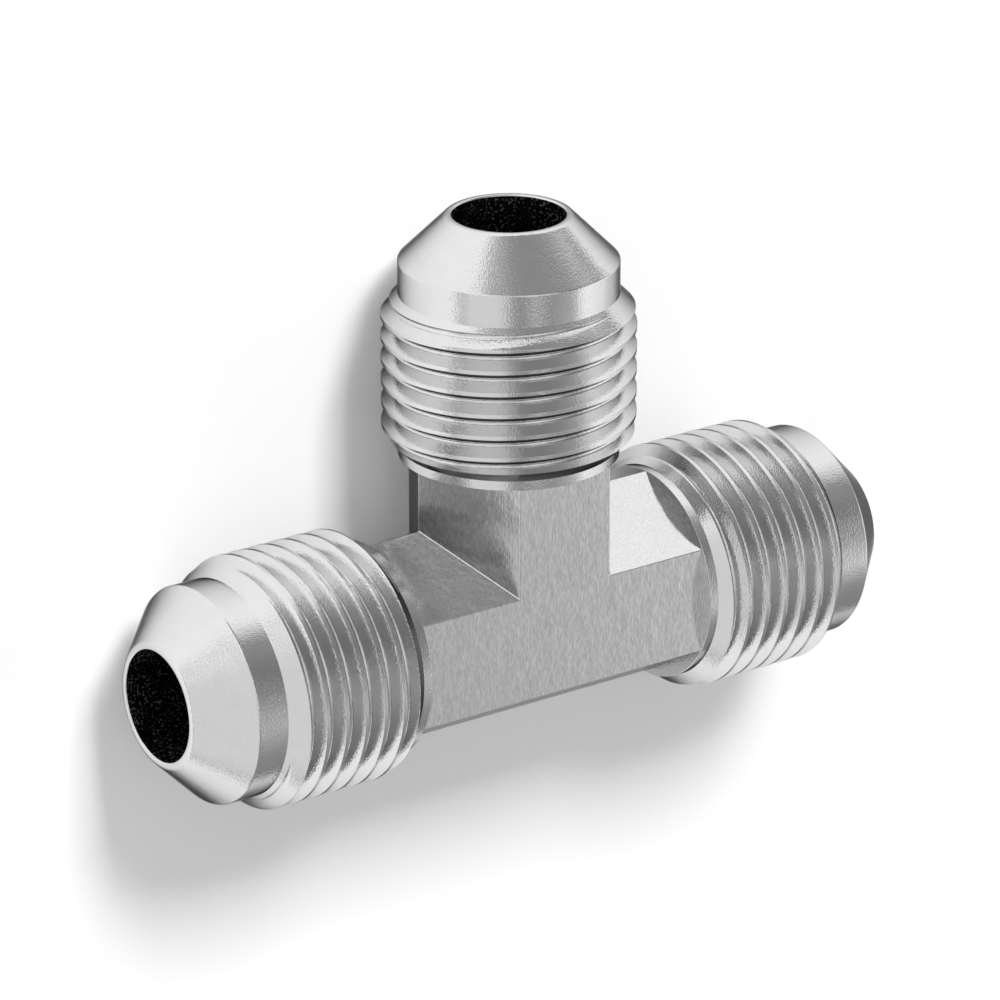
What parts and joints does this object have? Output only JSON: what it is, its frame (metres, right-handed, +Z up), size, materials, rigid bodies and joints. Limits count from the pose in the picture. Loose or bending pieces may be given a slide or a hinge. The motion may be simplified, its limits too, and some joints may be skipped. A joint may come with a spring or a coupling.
{
  "type": "flare union tee",
  "caption": "Metal union tee with a hexagonal body, a crossing waterway and male 45 degree flare threads on run and branch.",
  "frame": {"origin": "where the axes of the run and the branch cross, at the middle of the run bore", "axes": "+X along the run, +Y along the branch towards its nose, +Z up out of the body's wide flat, as the tee lies on its threads"},
  "size_m": [0.0526, 0.0342, 0.0158],
  "materials": {
    "polished_metal": "bright machined, faintly mottled flats"
  },
  "bodies": {
    "root": {"tee_body": "polished_metal"}
  },
  "joints": []
}
